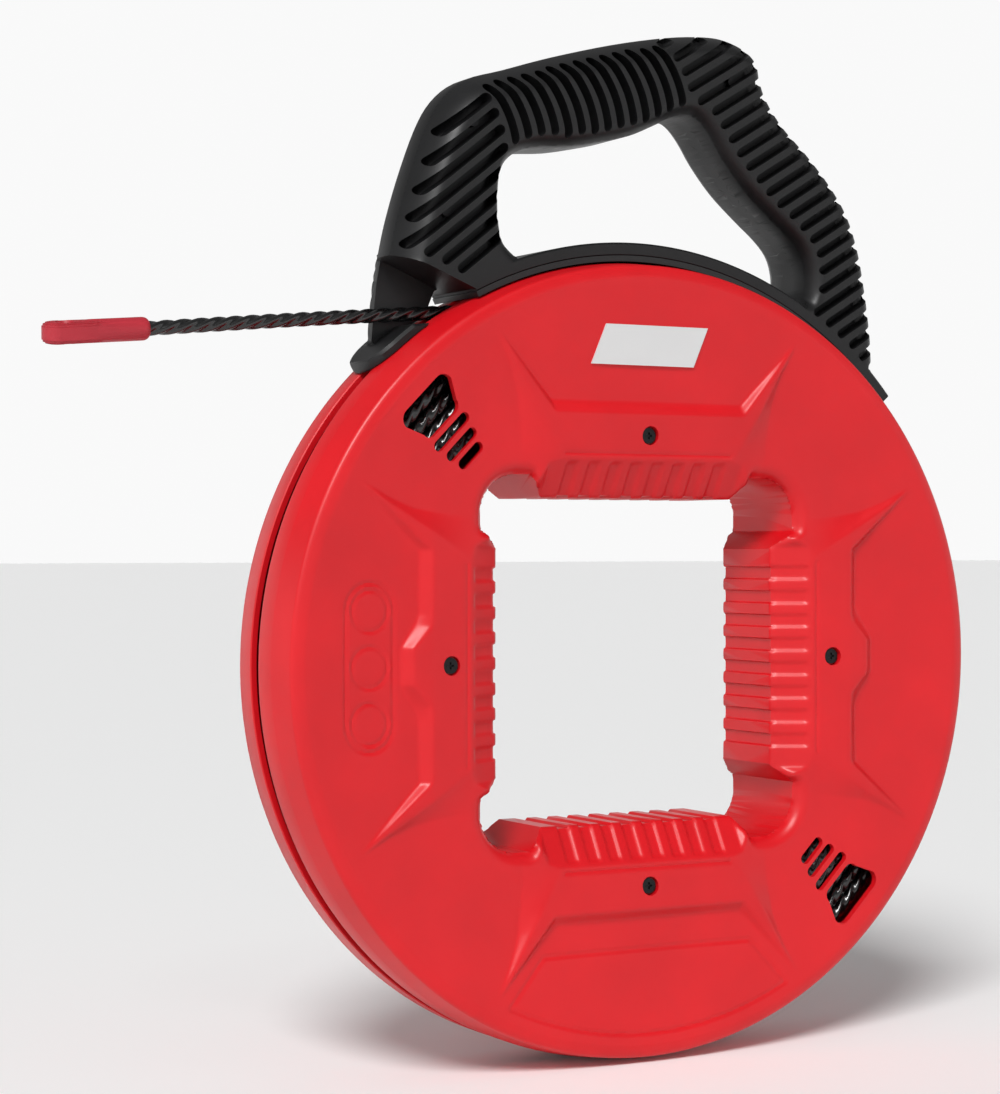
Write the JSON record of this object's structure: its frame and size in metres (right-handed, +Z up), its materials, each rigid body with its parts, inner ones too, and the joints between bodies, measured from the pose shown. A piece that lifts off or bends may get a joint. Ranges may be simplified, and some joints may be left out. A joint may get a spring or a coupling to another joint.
{
  "type": "fish tape reel",
  "caption": "Round hand-wound reel that turns in a fixed carrying handle and pays out a stiff twisted tape with an eyed tip for pulling wires through conduit.",
  "frame": {"origin": "on the reel axis, at the middle of the groove round the rim", "axes": "+Z up to the carrying handle, the reel axis along Y with the front face towards -Y, +X to the right seen from the front"},
  "size_m": [0.4041, 0.0554, 0.4163],
  "materials": {
    "case_red": "satin moulded",
    "handle_black": "fine texture",
    "rail_black": "satin moulded",
    "tape_black": "gloss",
    "tip_red": "matte moulded",
    "screw_black": "black coated",
    "anchor_steel": "plain",
    "badge_white": "satin"
  },
  "bodies": {
    "handle": {"handle_front": "handle_black", "handle_back": "handle_black", "slide_rail": "rail_black", "handle_screw_1": "screw_black", "handle_screw_2": "screw_black", "handle_screw_3": "screw_black", "handle_screw_4": "screw_black", "handle_screw_5": "screw_black", "handle_screw_6": "screw_black", "tape_feed": "tape_black"},
    "case": {"front_shell": "case_red", "back_shell": "case_red", "blank_badge": "badge_white", "case_screw_top": "screw_black", "case_screw_right": "screw_black", "case_screw_bottom": "screw_black", "case_screw_left": "screw_black", "tape_coil": "tape_black", "tape_anchor": "anchor_steel", "tape_anchor_screw": "anchor_steel"},
    "tape": {"tape_leader": "tape_black", "tape_tip": "tip_red"}
  },
  "joints": [
    {"name": "case_spin", "type": "hinge", "parent": "handle", "child": "case", "pos_m": [0, 0, 0], "axis": [0, 1, 0], "continuous": true},
    {"name": "tape_pull", "type": "slide", "parent": "handle", "child": "tape", "axis": [-0.9965, 0, -0.0837], "range_m": [-0.1, 0.01], "deforming": ["tape_feed"]}
  ],
  "couplings": [
    {"joint": "case_spin", "follows": "tape_pull", "rad_per_m": -6.9444}
  ]
}
